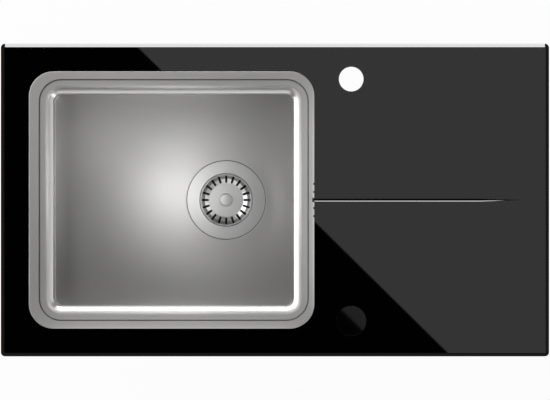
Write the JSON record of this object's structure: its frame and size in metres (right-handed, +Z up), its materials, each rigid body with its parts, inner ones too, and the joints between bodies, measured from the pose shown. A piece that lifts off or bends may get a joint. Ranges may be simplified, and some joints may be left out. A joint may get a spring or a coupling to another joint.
{
  "type": "glass-top kitchen sink",
  "caption": "Inset kitchen sink with a bevelled black glass top, a steel bowl at the left, a pop-up basket waste worked by a front knob, a drain groove and an open tap hole.",
  "frame": {"origin": "middle of the sink's outline on the worktop, at the underside of the worktop seal", "axes": "+X along the sink to the drainer side, +Y to the rear with the tap hole, +Z up"},
  "size_m": [0.78, 0.445, 0.3164],
  "materials": {
    "black_glass": "polished back-painted",
    "bowl_steel": "satin",
    "waste_steel": "polished",
    "tray_steel": "mill",
    "clip_steel": "zinc plated",
    "seal_rubber": "matt",
    "foam": "closed cell",
    "damping_pad": "matt",
    "waste_plastic": "moulded",
    "dark_plastic": "moulded",
    "knob_plastic": "gloss",
    "brass": "turned"
  },
  "bodies": {
    "sink": {"glass_top": "black_glass", "worktop_seal": "foam", "support_tray": "tray_steel", "bowl_gasket": "seal_rubber", "bowl": "bowl_steel", "sound_pads": "damping_pad", "strainer_dish": "waste_steel", "dish_seal": "seal_rubber", "lower_seal": "seal_rubber", "clamp_bolt": "waste_steel", "waste_body": "waste_plastic", "waste_spider": "waste_plastic", "waste_tail": "waste_plastic", "shaft_seal": "seal_rubber", "gland_nut": "waste_plastic", "cable_stop": "clip_steel", "cable_gland": "brass", "overflow_grille": "waste_steel", "overflow_seal": "seal_rubber", "overflow_elbow": "waste_plastic", "overflow_screw": "waste_steel", "overflow_pipe": "waste_plastic", "overflow_nuts": "waste_plastic", "knob_bush": "dark_plastic", "bush_seal": "seal_rubber", "bush_washer": "clip_steel", "bush_nut": "dark_plastic", "cable_housing": "dark_plastic", "knob_gland": "brass", "clip_brackets": "tray_steel", "clip_screws": "clip_steel"},
    "knob": {"control_knob": "knob_plastic", "knob_spindle": "clip_steel", "spindle_clip": "clip_steel", "cable_drum": "dark_plastic"},
    "lever": {"lever_shaft": "clip_steel", "lift_arm": "dark_plastic", "crank_arm": "clip_steel", "crank_screw": "clip_steel"},
    "lifter": {"lift_pin": "waste_steel"},
    "basket": {"basket_cup": "waste_steel", "basket_button": "waste_steel", "basket_stopper": "seal_rubber", "basket_stem": "waste_steel"},
    "claw_1": {"clip_claw_1": "clip_steel"},
    "claw_2": {"clip_claw_2": "clip_steel"},
    "claw_3": {"clip_claw_3": "clip_steel"},
    "claw_4": {"clip_claw_4": "clip_steel"},
    "claw_5": {"clip_claw_5": "clip_steel"},
    "claw_6": {"clip_claw_6": "clip_steel"},
    "claw_7": {"clip_claw_7": "clip_steel"},
    "claw_8": {"clip_claw_8": "clip_steel"}
  },
  "joints": [
    {"name": "knob_turn", "type": "hinge", "parent": "sink", "child": "knob", "pos_m": [0.1085, -0.172, 0.01], "axis": [0, 0, 1], "range_deg": [0, 90]},
    {"name": "lever_swing", "type": "hinge", "parent": "sink", "child": "lever", "pos_m": [-0.05, 0, -0.2374], "axis": [0, 1, 0], "range_deg": [0, 28.96]},
    {"name": "pin_lift", "type": "slide", "parent": "sink", "child": "lifter", "axis": [0, 0, 1], "range_m": [0, 0.01]},
    {"name": "basket_lift_out", "type": "slide", "parent": "lifter", "child": "basket", "axis": [0, 0, 1], "range_m": [0, 0.24]},
    {"name": "claw_1_swivel", "type": "hinge", "parent": "sink", "child": "claw_1", "pos_m": [-0.29, 0.1945, -0.045], "axis": [0, 0, 1], "range_deg": [0, 90]},
    {"name": "claw_2_swivel", "type": "hinge", "parent": "sink", "child": "claw_2", "pos_m": [0, 0.1945, -0.045], "axis": [0, 0, 1], "range_deg": [0, 90]},
    {"name": "claw_3_swivel", "type": "hinge", "parent": "sink", "child": "claw_3", "pos_m": [0.29, 0.1945, -0.045], "axis": [0, 0, 1], "range_deg": [0, 90]},
    {"name": "claw_4_swivel", "type": "hinge", "parent": "sink", "child": "claw_4", "pos_m": [0.362, 0, -0.045], "axis": [0, 0, 1], "range_deg": [0, 90]},
    {"name": "claw_5_swivel", "type": "hinge", "parent": "sink", "child": "claw_5", "pos_m": [0.29, -0.1945, -0.045], "axis": [0, 0, 1], "range_deg": [0, 90]},
    {"name": "claw_6_swivel", "type": "hinge", "parent": "sink", "child": "claw_6", "pos_m": [0, -0.1945, -0.045], "axis": [0, 0, 1], "range_deg": [0, 90]},
    {"name": "claw_7_swivel", "type": "hinge", "parent": "sink", "child": "claw_7", "pos_m": [-0.29, -0.1945, -0.045], "axis": [0, 0, 1], "range_deg": [0, 90]},
    {"name": "claw_8_swivel", "type": "hinge", "parent": "sink", "child": "claw_8", "pos_m": [-0.362, 0, -0.045], "axis": [0, 0, 1], "range_deg": [0, 90]}
  ],
  "couplings": [
    {"joint": "lever_swing", "follows": "knob_turn", "ratio": 0.32172},
    {"joint": "pin_lift", "follows": "knob_turn", "m_per_rad": 0.0063662}
  ]
}
